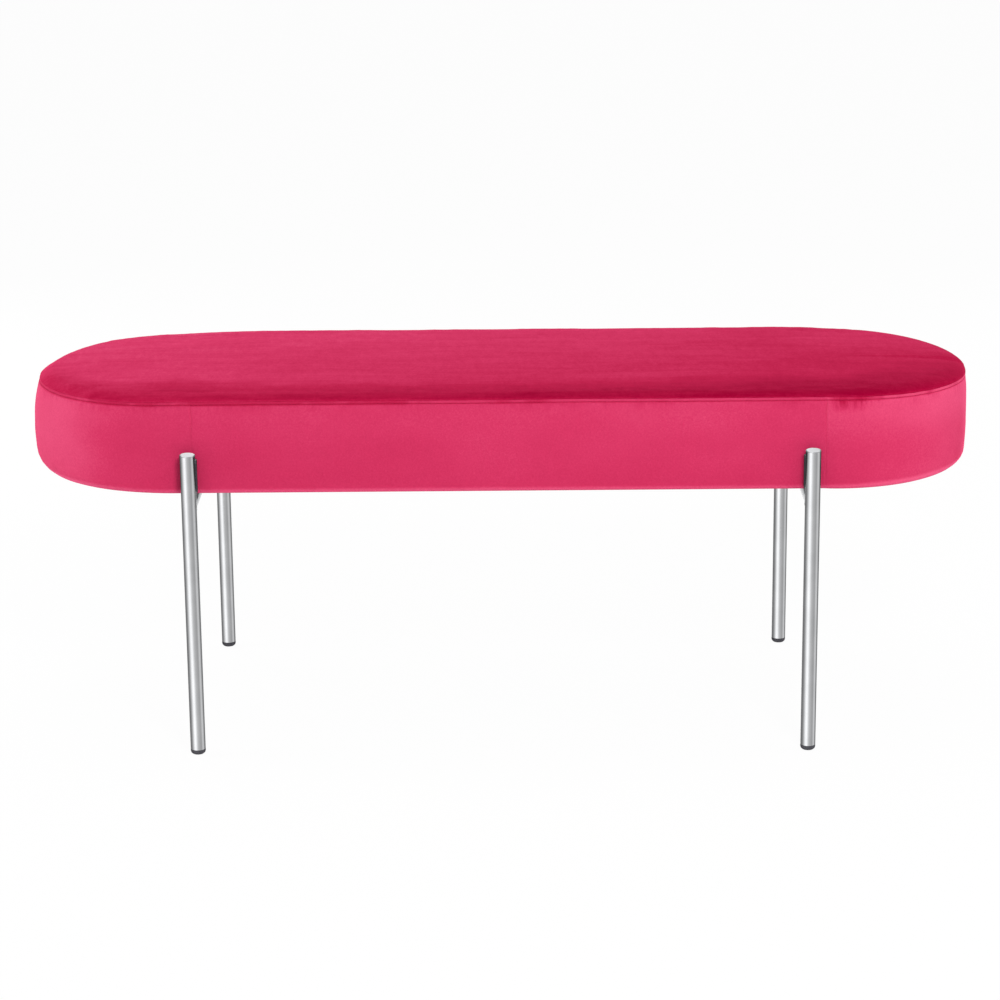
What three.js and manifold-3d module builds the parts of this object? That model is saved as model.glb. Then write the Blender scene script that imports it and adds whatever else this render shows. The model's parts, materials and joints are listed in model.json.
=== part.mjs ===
// An upholstered bench: a stadium-shaped velvet seat carried by two tubular steel leg frames that stand
// just outside it. Millimetres, +Z up, the front is -Y, and the origin is on the floor under the middle.

import * as THREE from "three";
import { mergeVertices } from "three/addons/utils/BufferGeometryUtils.js";
import Module from "manifold-3d";

const wasm = await Module();
wasm.setup();

// Driving sizes of the seat
const SEAT_LENGTH = 1200;
const SEAT_DEPTH = 400;
const SEAT_UNDERSIDE = 336; // floor to the lower edge of the velvet
const BAND_HEIGHT = 115.5; // lower edge of the velvet to the seam round the top

// Driving sizes of the leg frames
const TUBE_DIAMETER = 19;
const RAIL_DIAMETER = 16;
const TUBE_WALL = 1.5;
const LEG_RISE = 54; // how far a leg stands up past the lower edge of the velvet
const LEG_INSET = 16; // from the end of the seat's straight side in to the leg's axis
const LEG_GAP = 5.5; // between the velvet's widest line and the leg

// Clearances
const CONTACT_GAP = 0.3; // between faces that rest on each other
const CUT_OVERRUN = 4; // how far a cutting tool runs past what it cuts

// Crown of the top panel: a rounded shoulder, then a shallow dome
const SHOULDER_WIDTH = 28;
const SHOULDER_RISE = 5.5;
const DOME_RISE = 2;
const DOME_FLAT = 20; // half width of the flat strip along the middle

// Velvet cover
const VELVET = 1.6;
const TOP_DRAW = 3; // how far the band is drawn in at the seam
const END_LEAN = 4; // how much further the two ends lean in at the seam
const BOTTOM_DRAW = 1.5; // how far it is drawn in at its lower edge
const WIDEST_SHARE = 0.5; // how far up the wall its widest line lies
const LOWER_EDGE_RADIUS = 5;
const TURN_UNDER = 32; // width of velvet turned under the board
const WELT_HEIGHT = 5; // seam to the row of topstitching below it
const WELT_PROUD = 0.8; // how far the stitched-down allowance stands out
const SEAM_ALLOWANCE = 10;
const LEFT_SEAM_INSET = 20; // from the end of the straight side in to the band's upright seams
const RIGHT_SEAM_INSET = 1;

// Filling and boards
const WADDING = 4;
const CORE_HEIGHT = 50;
const BOARD_THICKNESS = 18;
const PANEL_THICKNESS = 4;
const PANEL_INSET = 22; // from the velvet's widest line in to the panel's edge

// Legs, caps, glides and pads
const CAP_THICKNESS = 2;
const CAP_CHAMFER = 1.2;
const SPIGOT_LENGTH = 8;
const GLIDE_HEAD = 6.5;
const GLIDE_SKIRT = 2; // upright rim of the head above its rounded foot
const GLIDE_FLAT = 4.5; // radius of the flat that rests on the floor
const GLIDE_PLUG = 14;
const GLIDE_BARBS = 2;
const BARB_DEPTH = 0.8;
const PAD_LIP = 0.5; // how far a pad shows at each side of its leg
const PAD_WRAP = 5; // how far its lips reach round the leg
const PAD_TOP_DROP = 10; // from the leg's top down to the pad's
const PAD_LIFT = 2; // from the velvet's lower edge up to the pad's
const PAD_BEVEL = 0.5;

// Mounting plates and their fasteners
const PLATE_THICKNESS = 4;
const PLATE_LENGTH = 50;
const PLATE_CORNER = 8;
const PLATE_MARGIN = 11; // bolt axis to the plate's edge
const PLATE_INSET = 85; // leg axis to the middle of its plate
const BOLT_DIAMETER = 6;
const BOLT_CLEARANCE = 9.5; // between the rail and a washer, for the key
const BOLT_RECESS = 3.5; // how far a bolt ends below the top of its nut
const HEAD_DIAMETER = 10.5;
const HEAD_HEIGHT = 3.3;
const HEAD_DOME = 1.8; // rounded part of the head's height
const SOCKET_SIZE = 4; // across the flats
const SOCKET_SIDES = 6;
const SOCKET_DEPTH = 2;
const WASHER_DIAMETER = 12;
const WASHER_THICKNESS = 1.6;
const NUT_FLANGE_DIAMETER = 19;
const NUT_FLANGE = 1.5;
const NUT_WALL = 0.9;
const NUT_BARREL = 9;
const POCKET_MARGIN = 1; // free space round a nut's flange in the foam

// Facet counts
const END_STEPS = 20; // along each half-round end of the seat
const TUBE_STEPS = 24;
const SMALL_STEPS = 16;
const PLATE_STEPS = 12; // round a bolt hole of a plate
const CORNER_STEPS = 3;
const WALL_STEPS = 6;
const SHOULDER_STEPS = 4;
const DOME_STEPS = 2;

// Places that follow from them
const endRadius = SEAT_DEPTH / 2;
const straightHalf = (SEAT_LENGTH - SEAT_DEPTH) / 2;
const seamHeight = SEAT_UNDERSIDE + BAND_HEIGHT;
const tubeRadius = TUBE_DIAMETER / 2;
const boreRadius = tubeRadius - TUBE_WALL;
const railRadius = RAIL_DIAMETER / 2;
const legX = straightHalf - LEG_INSET;
const legY = endRadius + LEG_GAP + tubeRadius;
const legTop = SEAT_UNDERSIDE + LEG_RISE;

// Radii of the seat's layers at the seam, from the outside in
const bandTopRadius = endRadius - TOP_DRAW;
const seamRadius = bandTopRadius + WELT_PROUD;
const allowanceOuter = bandTopRadius - VELVET - CONTACT_GAP;
const allowanceInner = allowanceOuter - VELVET;
const waddingTopRadius = allowanceInner - CONTACT_GAP;
const foamRadius = waddingTopRadius - WADDING - CONTACT_GAP;
const allowanceBottom = seamHeight - SEAM_ALLOWANCE;

// Heights of the seat's layers, from the board up
const boardBottom = SEAT_UNDERSIDE + VELVET + CONTACT_GAP;
const boardTop = boardBottom + BOARD_THICKNESS;
const coreBottom = boardTop + CONTACT_GAP;
const coreTop = coreBottom + CORE_HEIGHT;
const topperBottom = coreTop + CONTACT_GAP;
const waddingEdge = seamHeight - VELVET - CONTACT_GAP;
const topperEdge = waddingEdge - WADDING - CONTACT_GAP;

// Heights of what hangs under the board, from the board down
const panelTop = SEAT_UNDERSIDE - CONTACT_GAP;
const panelBottom = panelTop - PANEL_THICKNESS;
const plateTop = panelBottom - CONTACT_GAP;
const plateBottom = plateTop - PLATE_THICKNESS;
const railAxis = plateBottom - CONTACT_GAP - railRadius;
const washerTop = plateBottom - CONTACT_GAP;
const washerBottom = washerTop - WASHER_THICKNESS;
const headTop = washerBottom - CONTACT_GAP;

// Radii of the fasteners
const boltRadius = BOLT_DIAMETER / 2;
const boltHole = boltRadius + CONTACT_GAP;
const nutBarrelRadius = boltHole + NUT_WALL;
const nutHole = nutBarrelRadius + CONTACT_GAP;
const nutFlangeRadius = NUT_FLANGE_DIAMETER / 2;
const boltOffset = railRadius + BOLT_CLEARANCE + WASHER_DIAMETER / 2;
const nutTop = boardTop + CONTACT_GAP + NUT_FLANGE;
const boltEnd = nutTop - BOLT_RECESS;

// Finishes
const velvet = new THREE.MeshStandardMaterial({ color: 0xd3345f, roughness: 0.9, metalness: 0 });
const chrome = new THREE.MeshStandardMaterial({ color: 0xc9cacc, roughness: 0.25, metalness: 1 });
const zinc = new THREE.MeshStandardMaterial({ color: 0x9fa3a8, roughness: 0.45, metalness: 1 });
const blackSteel = new THREE.MeshStandardMaterial({ color: 0x26272a, roughness: 0.5, metalness: 0.6 });
const darkPlastic = new THREE.MeshStandardMaterial({ color: 0x424148, roughness: 0.6, metalness: 0 });
const plywood = new THREE.MeshStandardMaterial({ color: 0xcaa877, roughness: 0.8, metalness: 0 });
const blackPanel = new THREE.MeshStandardMaterial({ color: 0x1d1d1f, roughness: 0.95, metalness: 0 });
const foam = new THREE.MeshStandardMaterial({ color: 0xe9dfae, roughness: 1, metalness: 0 });
const fleece = new THREE.MeshStandardMaterial({ color: 0xf2f1ee, roughness: 1, metalness: 0 });

const bench = new THREE.Group();
bench.name = "upholstered_bench";

// Adds a named mesh to the bench at a place.
function add(name, geometry, material, x = 0, y = 0, z = 0) {
  const mesh = new THREE.Mesh(geometry, material);
  mesh.name = name;
  mesh.position.set(x, y, z);
  bench.add(mesh);
  return mesh;
}

// Turns a closed geometry into a solid that can be cut and joined.
function solidOf(geometry) {
  const bare = geometry.clone();
  bare.deleteAttribute("normal");
  bare.deleteAttribute("uv");
  const merged = mergeVertices(bare);
  return new wasm.Manifold(
    new wasm.Mesh({
      numProp: 3,
      vertProperties: merged.attributes.position.array,
      triVerts: new Uint32Array(merged.index.array),
    }),
  );
}

// Turns a solid back into a geometry.
function geometryOf(solid) {
  const mesh = solid.getMesh();
  const geometry = new THREE.BufferGeometry();
  geometry.setAttribute("position", new THREE.BufferAttribute(mesh.vertProperties, 3));
  geometry.setIndex(new THREE.BufferAttribute(mesh.triVerts, 1));
  geometry.computeVertexNormals();
  return geometry;
}

// Builds a geometry from a list of [x, y, z] points and a list of triangles.
function geometryFrom(points, triangles) {
  const geometry = new THREE.BufferGeometry();
  geometry.setAttribute("position", new THREE.Float32BufferAttribute(points.flat(), 3));
  geometry.setIndex(triangles.flat());
  geometry.computeVertexNormals();
  return geometry;
}

// The band's wall runs from the rounded lower edge to the row of topstitching.
const wallBottom = SEAT_UNDERSIDE + LOWER_EDGE_RADIUS;
const wallTop = seamHeight - WELT_HEIGHT;
const widestHeight = wallBottom + (wallTop - wallBottom) * WIDEST_SHARE;

// A point of the seat, from a place on its spine, a direction, a radius and a height. Above their widest
// line the half-round ends are pressed in lengthways, more towards the seam.
function seatPoint(x, angle, radius, height) {
  const rise = Math.max(0, height - widestHeight) / (seamHeight - widestHeight);
  const lean = (END_LEAN / endRadius) * Math.min(1, rise) ** 2;
  return [x + radius * Math.cos(angle) * (1 - lean), radius * Math.sin(angle), height];
}

// A lathe whose axis is drawn out into the seat's spine: each [radius, height] of the profile becomes
// one stadium-shaped ring. The profile runs from the middle out, up and back to the middle.
function stadiumLathe(profile) {
  const ringSize = 2 * (END_STEPS + 1);
  const points = [];
  for (const [radius, height] of profile) {
    for (const side of [1, -1]) {
      for (let i = 0; i <= END_STEPS; i++) {
        const angle = Math.PI * (i / END_STEPS - side / 2);
        points.push(seatPoint(side * straightHalf, angle, radius, height));
      }
    }
  }
  const triangles = [];
  for (let ring = 0; ring + 1 < profile.length; ring++) {
    for (let i = 0; i < ringSize; i++) {
      const a = ring * ringSize + i;
      const b = ring * ringSize + ((i + 1) % ringSize);
      triangles.push([a, b, b + ringSize], [a, b + ringSize, a + ringSize]);
    }
  }
  const firstMiddle = points.length;
  const lastMiddle = firstMiddle + 1;
  points.push([0, 0, profile[0][1]], [0, 0, profile[profile.length - 1][1]]);
  const lastRing = (profile.length - 1) * ringSize;
  for (let i = 0; i < ringSize; i++) {
    const next = (i + 1) % ringSize;
    triangles.push([firstMiddle, next, i], [lastMiddle, lastRing + i, lastRing + next]);
  }
  return geometryFrom(points, triangles);
}

// The crown from an edge in to the middle, as [radius, height] points.
function crownPath(edgeRadius, edgeHeight) {
  const path = [];
  for (let i = 0; i <= SHOULDER_STEPS; i++) {
    const angle = (Math.PI / 2) * (i / SHOULDER_STEPS);
    const inward = SHOULDER_WIDTH * (1 - Math.cos(angle));
    path.push([edgeRadius - inward, edgeHeight + SHOULDER_RISE * Math.sin(angle)]);
  }
  const domeEdge = edgeRadius - SHOULDER_WIDTH;
  const domeBase = edgeHeight + SHOULDER_RISE;
  for (let i = 1; i <= DOME_STEPS; i++) {
    const share = i / DOME_STEPS;
    const rise = DOME_RISE * Math.sin((Math.PI / 2) * share);
    path.push([domeEdge + (DOME_FLAT - domeEdge) * share, domeBase + rise]);
  }
  return path;
}

// The band's outer radius at a share of the way up its wall: widest part way up, drawn in above and below.
function bandRadius(share) {
  if (share > WIDEST_SHARE) {
    return endRadius - TOP_DRAW * ((share - WIDEST_SHARE) / (1 - WIDEST_SHARE)) ** 2;
  }
  return endRadius - BOTTOM_DRAW * (1 - share / WIDEST_SHARE) ** 2;
}

// Points up the band's wall, as [share, height] pairs.
function wallLevels() {
  const levels = [];
  for (let i = 0; i <= WALL_STEPS; i++) {
    const share = i / WALL_STEPS;
    levels.push([share, wallBottom + (wallTop - wallBottom) * share]);
  }
  return levels;
}

// The band's section: pairs of outer and inner [radius, height] points, from the turned-under edge
// round the lower edge, up the wall and over the stitched-down allowance to the seam.
function bandSection() {
  const lowerRadius = bandRadius(0);
  const cornerRadius = lowerRadius - LOWER_EDGE_RADIUS;
  const turnedEdge = lowerRadius - TURN_UNDER;
  const pairs = [[[turnedEdge, SEAT_UNDERSIDE], [turnedEdge, SEAT_UNDERSIDE + VELVET]]];
  for (let i = 0; i < CORNER_STEPS; i++) {
    const angle = (Math.PI / 2) * (i / CORNER_STEPS - 1);
    const along = (radius) => [
      cornerRadius + radius * Math.cos(angle),
      wallBottom + radius * Math.sin(angle),
    ];
    pairs.push([along(LOWER_EDGE_RADIUS), along(LOWER_EDGE_RADIUS - VELVET)]);
  }
  for (const [share, height] of wallLevels()) {
    pairs.push([[bandRadius(share), height], [bandRadius(share) - VELVET, height]]);
  }
  for (const height of [wallTop + WELT_PROUD, seamHeight - CONTACT_GAP]) {
    pairs.push([[seamRadius, height], [bandTopRadius - VELVET, height]]);
  }
  return pairs;
}

// Sweeps the band's section through stations round the seat, each a place on the spine and a direction.
function sweepBand(stations) {
  const pairs = bandSection();
  const outline = [...pairs.map((pair) => pair[0]), ...pairs.map((pair) => pair[1]).reverse()];
  const size = outline.length;
  const points = stations.flatMap(({ x, angle }) =>
    outline.map(([radius, height]) => seatPoint(x, angle, radius, height)),
  );
  const triangles = [];
  for (let station = 0; station + 1 < stations.length; station++) {
    for (let k = 0; k < size; k++) {
      const a = station * size + k;
      const b = station * size + ((k + 1) % size);
      triangles.push([a, a + size, b + size], [a, b + size, b]);
    }
  }
  const last = (stations.length - 1) * size;
  for (let k = 0; k + 1 < pairs.length; k++) {
    const [outer, nextOuter, inner, nextInner] = [k, k + 1, size - 1 - k, size - 2 - k];
    triangles.push([outer, nextOuter, nextInner], [outer, nextInner, inner]);
    triangles.push([last + outer, last + nextInner, last + nextOuter]);
    triangles.push([last + outer, last + inner, last + nextInner]);
  }
  return geometryFrom(points, triangles);
}

// Upright seams of the band, each with half a gap to the next piece.
const leftSeam = straightHalf - LEFT_SEAM_INSET;
const rightSeam = straightHalf - RIGHT_SEAM_INSET;
const halfGap = CONTACT_GAP / 2;

// Stations of an end band: a stub of the straight side, the half round, and the other stub.
function endStations(side, seam, firstAngle) {
  const stub = side * (seam + halfGap);
  const stations = [{ x: stub, angle: firstAngle }];
  for (let i = 0; i <= END_STEPS; i++) {
    stations.push({ x: side * straightHalf, angle: firstAngle + Math.PI * (i / END_STEPS) });
  }
  stations.push({ x: stub, angle: firstAngle + Math.PI });
  return stations;
}

// Stations of a straight band, from one upright seam to the other.
function straightStations(from, to, angle) {
  return [
    { x: from, angle },
    { x: to, angle },
  ];
}

// Velvet: the top panel with its seam allowance turned down inside the band, and four band pieces.
function addCover() {
  const topPanel = [
    ...crownPath(allowanceInner, seamHeight - VELVET).reverse(),
    [allowanceInner, allowanceBottom],
    [allowanceOuter, allowanceBottom],
    [allowanceOuter, seamHeight],
    ...crownPath(seamRadius, seamHeight),
  ];
  add("cover_top_panel", stadiumLathe(topPanel), velvet);
  const front = straightStations(halfGap - leftSeam, rightSeam - halfGap, -Math.PI / 2);
  const back = straightStations(rightSeam - halfGap, halfGap - leftSeam, Math.PI / 2);
  add("cover_front_band", sweepBand(front), velvet);
  add("cover_back_band", sweepBand(back), velvet);
  add("cover_right_band", sweepBand(endStations(1, rightSeam, -Math.PI / 2)), velvet);
  add("cover_left_band", sweepBand(endStations(-1, leftSeam, Math.PI / 2)), velvet);
}

// Fleece wadding: a cap over the foam that fills out the band and steps in at the seam allowance.
function addWadding() {
  const inner = foamRadius + CONTACT_GAP;
  const skin = VELVET + CONTACT_GAP;
  const shelf = allowanceBottom - CONTACT_GAP;
  const shelfShare = (shelf - wallBottom) / (wallTop - wallBottom);
  const levels = wallLevels().filter(([, height]) => height < shelf);
  const inside = levels.filter(([, height]) => height === wallBottom || height >= widestHeight);
  const profile = [
    ...crownPath(inner, topperEdge + CONTACT_GAP).reverse(),
    ...inside.map(([, height]) => [inner, height]).reverse(),
    ...levels.map(([share, height]) => [bandRadius(share) - skin, height]),
    [bandRadius(shelfShare) - skin, shelf],
    [waddingTopRadius, shelf],
    ...crownPath(waddingTopRadius, waddingEdge),
  ];
  add("fleece_wadding", stadiumLathe(profile), fleece);
}

// The places of the bolts: two to each mounting plate, one at each side of the rail.
const corners = [];
for (const [endName, xSide] of [["left", -1], ["right", 1]]) {
  for (const [sideName, ySide] of [["front", -1], ["back", 1]]) {
    corners.push({ name: `${sideName}_${endName}`, x: xSide * legX, y: ySide * legY, xSide, ySide });
  }
}
const bolts = corners.flatMap(({ name, x, y, xSide, ySide }) =>
  [["inner", -1], ["outer", 1]].map(([place, out]) => ({
    name: `${name}_${place}`,
    x: x + out * xSide * boltOffset,
    y: y - ySide * PLATE_INSET,
  })),
);

// A stadium outline of one radius, with a round hole for each bolt.
function stadiumShape(radius, holeRadius) {
  const shape = new THREE.Shape();
  shape.absarc(straightHalf, 0, radius, -Math.PI / 2, Math.PI / 2, false);
  shape.absarc(-straightHalf, 0, radius, Math.PI / 2, (3 * Math.PI) / 2, false);
  if (holeRadius) {
    for (const bolt of bolts) {
      const hole = new THREE.Path();
      hole.absarc(bolt.x, bolt.y, holeRadius, 0, 2 * Math.PI, true);
      shape.holes.push(hole);
    }
  }
  return shape;
}

// A flat slab on the plane z = 0. A half circle takes twice as many facets as curveSegments.
function slab(shape, thickness, curveSegments) {
  return new THREE.ExtrudeGeometry(shape, { depth: thickness, bevelEnabled: false, curveSegments });
}

// Heights between two others where the leaning side of the foam takes a row of facets.
function foamLevels(from, to) {
  const heights = wallLevels().map(([, height]) => height);
  return heights.filter((height) => height >= widestHeight && height > from && height < to);
}

// Plywood board, closing panel, and the two layers of foam.
function addFilling() {
  const halfSteps = END_STEPS / 2;
  const board = slab(stadiumShape(foamRadius, nutHole), BOARD_THICKNESS, halfSteps);
  add("plywood_base_board", board, plywood, 0, 0, boardBottom);
  const panel = slab(stadiumShape(endRadius - PANEL_INSET, boltHole), PANEL_THICKNESS, halfSteps);
  add("underside_panel", panel, blackPanel, 0, 0, panelBottom);

  const pocketTop = nutTop + POCKET_MARGIN;
  const pocketHeight = pocketTop - coreBottom + CUT_OVERRUN;
  const side = [coreBottom, ...foamLevels(coreBottom, coreTop), coreTop];
  let core = solidOf(stadiumLathe(side.map((height) => [foamRadius, height])));
  for (const bolt of bolts) {
    const radius = nutFlangeRadius + POCKET_MARGIN;
    const pocket = new THREE.CylinderGeometry(radius, radius, pocketHeight, SMALL_STEPS);
    pocket.rotateX(Math.PI / 2);
    pocket.translate(bolt.x, bolt.y, pocketTop - pocketHeight / 2);
    core = core.subtract(solidOf(pocket));
  }
  add("foam_core", geometryOf(core), foam);

  const topperSide = [topperBottom, ...foamLevels(topperBottom, topperEdge)];
  const topper = topperSide.map((height) => [foamRadius, height]);
  add("foam_topper", stadiumLathe([...topper, ...crownPath(foamRadius, topperEdge)]), foam);
}

// Revolves a profile of [radius, height] points about the upright axis.
function turned(profile, steps) {
  const geometry = new THREE.LatheGeometry(
    profile.map(([radius, height]) => new THREE.Vector2(radius, height)),
    steps,
  );
  geometry.rotateX(Math.PI / 2);
  return geometry;
}

// An open length of tube standing on the plane z = 0.
function tube(radius, length) {
  const bore = radius - TUBE_WALL;
  return turned(
    [
      [bore, 0],
      [radius, 0],
      [radius, length],
      [bore, length],
      [bore, 0],
    ],
    TUBE_STEPS,
  );
}

// The flush cap that closes a leg's top, with its spigot down inside the tube.
function capGeometry() {
  const spigot = boreRadius - CONTACT_GAP;
  return turned(
    [
      [0, -SPIGOT_LENGTH],
      [spigot, -SPIGOT_LENGTH],
      [spigot, 0],
      [tubeRadius, 0],
      [tubeRadius, CAP_THICKNESS - CAP_CHAMFER],
      [tubeRadius - CAP_CHAMFER, CAP_THICKNESS],
      [0, CAP_THICKNESS],
    ],
    TUBE_STEPS,
  );
}

// The moulded glide: a domed head on the floor and a barbed plug up inside the tube.
function glideGeometry() {
  const profile = [
    [0, 0],
    [GLIDE_FLAT, 0],
  ];
  const roundWidth = tubeRadius - GLIDE_FLAT;
  const roundHeight = GLIDE_HEAD - GLIDE_SKIRT;
  for (let i = 1; i <= CORNER_STEPS; i++) {
    const angle = (Math.PI / 2) * (i / CORNER_STEPS);
    profile.push([
      GLIDE_FLAT + roundWidth * Math.sin(angle),
      roundHeight * (1 - Math.cos(angle)),
    ]);
  }
  const plug = boreRadius - CONTACT_GAP;
  const pitch = GLIDE_PLUG / GLIDE_BARBS;
  profile.push([tubeRadius, GLIDE_HEAD]);
  for (let i = 0; i < GLIDE_BARBS; i++) {
    profile.push([plug, GLIDE_HEAD + i * pitch]);
    profile.push([plug - BARB_DEPTH, GLIDE_HEAD + (i + 1) * pitch]);
  }
  profile.push([0, GLIDE_HEAD + GLIDE_PLUG]);
  return turned(profile, TUBE_STEPS);
}

// The moulded pad between a leg and the velvet: flat behind, hollowed round the tube.
// Its own frame has the leg's axis at the origin and the seat towards +Y.
function padGeometry() {
  const hollow = tubeRadius + CONTACT_GAP;
  const halfWidth = tubeRadius + PAD_LIP;
  const back = tubeRadius + LEG_GAP - CONTACT_GAP;
  const front = tubeRadius - PAD_WRAP;
  const lipAngle = Math.asin(front / hollow);
  const shape = new THREE.Shape();
  shape.moveTo(halfWidth, front);
  shape.lineTo(halfWidth, back);
  shape.lineTo(-halfWidth, back);
  shape.lineTo(-halfWidth, front);
  shape.absarc(0, 0, hollow, Math.PI - lipAngle, lipAngle, true);
  const height = LEG_RISE - PAD_TOP_DROP - PAD_LIFT;
  const geometry = new THREE.ExtrudeGeometry(shape, {
    depth: height - 2 * PAD_BEVEL,
    curveSegments: CORNER_STEPS + 1,
    bevelThickness: PAD_BEVEL,
    bevelSize: PAD_BEVEL,
    bevelOffset: -PAD_BEVEL,
    bevelSegments: 1,
  });
  geometry.translate(0, 0, PAD_BEVEL);
  return geometry;
}

// The cross rail, cut to a saddle at each end where it meets a leg.
function railGeometry() {
  const rail = tube(railRadius, 2 * legY);
  rail.rotateX(Math.PI / 2);
  rail.translate(0, legY, 0);
  const saddleRadius = tubeRadius + CONTACT_GAP;
  const cutterHeight = RAIL_DIAMETER + CUT_OVERRUN;
  let solid = solidOf(rail);
  for (const side of [-1, 1]) {
    const cutter = new THREE.CylinderGeometry(saddleRadius, saddleRadius, cutterHeight, TUBE_STEPS);
    cutter.rotateX(Math.PI / 2);
    cutter.translate(0, side * legY, 0);
    solid = solid.subtract(solidOf(cutter));
  }
  return geometryOf(solid);
}

// The plate welded across a rail, with a bolt hole at each side of it.
function plateGeometry() {
  const halfWidth = boltOffset + PLATE_MARGIN;
  const halfLength = PLATE_LENGTH / 2;
  const shape = new THREE.Shape();
  const cornerX = halfWidth - PLATE_CORNER;
  const cornerY = halfLength - PLATE_CORNER;
  shape.absarc(cornerX, -cornerY, PLATE_CORNER, -Math.PI / 2, 0, false);
  shape.absarc(cornerX, cornerY, PLATE_CORNER, 0, Math.PI / 2, false);
  shape.absarc(-cornerX, cornerY, PLATE_CORNER, Math.PI / 2, Math.PI, false);
  shape.absarc(-cornerX, -cornerY, PLATE_CORNER, Math.PI, (3 * Math.PI) / 2, false);
  for (const side of [-1, 1]) {
    const hole = new THREE.Path();
    hole.absarc(side * boltOffset, 0, boltHole, 0, 2 * Math.PI, true);
    shape.holes.push(hole);
  }
  return slab(shape, PLATE_THICKNESS, PLATE_STEPS / 2);
}

// Button-head bolt, head down, with its hexagon socket. Its head's seat is at z = 0.
function boltGeometry() {
  const headRadius = HEAD_DIAMETER / 2;
  const domeAngle = Math.PI / 4;
  const profile = [
    [0, -HEAD_HEIGHT],
    [headRadius * Math.cos(domeAngle), -HEAD_HEIGHT],
    [headRadius, HEAD_DOME - HEAD_HEIGHT],
    [headRadius, 0],
    [boltRadius, 0],
    [boltRadius, boltEnd - headTop],
    [0, boltEnd - headTop],
  ];
  const socketRadius = SOCKET_SIZE / Math.sqrt(3);
  const socketHeight = SOCKET_DEPTH + CUT_OVERRUN;
  const socket = new THREE.CylinderGeometry(socketRadius, socketRadius, socketHeight, SOCKET_SIDES);
  socket.rotateX(Math.PI / 2);
  socket.translate(0, 0, SOCKET_DEPTH - HEAD_HEIGHT - socketHeight / 2);
  return geometryOf(solidOf(turned(profile, SMALL_STEPS)).subtract(solidOf(socket)));
}

// Flat washer standing on the plane z = 0.
function washerGeometry() {
  return turned(
    [
      [boltHole, 0],
      [WASHER_DIAMETER / 2, 0],
      [WASHER_DIAMETER / 2, WASHER_THICKNESS],
      [boltHole, WASHER_THICKNESS],
      [boltHole, 0],
    ],
    SMALL_STEPS,
  );
}

// Tee nut: its barrel hangs down into the board from a flange at z = 0.
function nutGeometry() {
  return turned(
    [
      [boltHole, -NUT_BARREL],
      [nutBarrelRadius, -NUT_BARREL],
      [nutBarrelRadius, 0],
      [nutFlangeRadius, 0],
      [nutFlangeRadius, NUT_FLANGE],
      [boltHole, NUT_FLANGE],
      [boltHole, -NUT_BARREL],
    ],
    SMALL_STEPS,
  );
}

// Two leg frames: in each, two capped legs on glides, joined by a rail that carries two plates.
function addLegFrames() {
  const legFoot = GLIDE_HEAD + CONTACT_GAP;
  const capFoot = legTop - CAP_THICKNESS;
  const leg = tube(tubeRadius, capFoot - CONTACT_GAP - legFoot);
  const cap = capGeometry();
  const glide = glideGeometry();
  const pad = padGeometry();
  const plate = plateGeometry();
  const rail = railGeometry();
  for (const { name, x, y, ySide } of corners) {
    add(`${name}_leg`, leg, chrome, x, y, legFoot);
    add(`${name}_leg_cap`, cap, chrome, x, y, capFoot);
    add(`${name}_glide`, glide, darkPlastic, x, y);
    const legPad = add(`${name}_leg_pad`, pad, darkPlastic, x, y, SEAT_UNDERSIDE + PAD_LIFT);
    legPad.rotation.z = ySide > 0 ? Math.PI : 0;
    add(`${name}_mounting_plate`, plate, blackSteel, x, y - ySide * PLATE_INSET, plateBottom);
  }
  add("left_cross_rail", rail, chrome, -legX, 0, railAxis);
  add("right_cross_rail", rail, chrome, legX, 0, railAxis);
}

// A bolt, a washer and a tee nut at each bolt's place.
function addFasteners() {
  const bolt = boltGeometry();
  const washer = washerGeometry();
  const nut = nutGeometry();
  for (const { name, x, y } of bolts) {
    add(`${name}_bolt`, bolt, zinc, x, y, headTop);
    add(`${name}_washer`, washer, zinc, x, y, washerBottom);
    add(`${name}_tee_nut`, nut, zinc, x, y, boardTop + CONTACT_GAP);
  }
}

addCover();
addWadding();
addFilling();
addLegFrames();
addFasteners();

export default bench;
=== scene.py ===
"""The bench's looks: sewn velvet, chromed tube and moulded pads. Metres, +Z up, front -Y."""

import json
from math import cos, exp, pi, sin, sqrt

import bpy
from mathutils import Matrix, Vector, kdtree, noise

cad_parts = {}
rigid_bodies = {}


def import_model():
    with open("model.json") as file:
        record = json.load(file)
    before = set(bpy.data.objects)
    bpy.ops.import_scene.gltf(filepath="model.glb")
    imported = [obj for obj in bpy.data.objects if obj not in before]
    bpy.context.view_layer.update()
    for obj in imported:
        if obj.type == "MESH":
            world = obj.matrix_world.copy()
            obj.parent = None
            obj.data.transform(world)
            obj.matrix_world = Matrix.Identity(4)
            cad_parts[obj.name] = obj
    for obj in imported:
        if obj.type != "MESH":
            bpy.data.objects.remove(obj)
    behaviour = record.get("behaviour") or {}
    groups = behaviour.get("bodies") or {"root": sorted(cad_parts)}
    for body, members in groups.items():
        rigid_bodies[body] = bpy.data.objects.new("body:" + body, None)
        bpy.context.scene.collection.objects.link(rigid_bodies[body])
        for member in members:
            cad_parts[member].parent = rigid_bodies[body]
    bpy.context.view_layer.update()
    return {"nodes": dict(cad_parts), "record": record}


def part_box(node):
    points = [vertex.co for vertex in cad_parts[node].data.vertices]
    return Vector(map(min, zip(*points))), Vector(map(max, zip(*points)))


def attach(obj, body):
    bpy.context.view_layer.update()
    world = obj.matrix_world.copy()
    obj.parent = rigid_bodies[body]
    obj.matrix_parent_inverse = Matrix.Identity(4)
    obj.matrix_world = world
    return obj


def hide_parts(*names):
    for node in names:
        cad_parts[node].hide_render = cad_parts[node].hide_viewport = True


for leftover in list(bpy.data.objects):
    bpy.data.objects.remove(leftover)

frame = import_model()
nodes = frame["nodes"]

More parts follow.
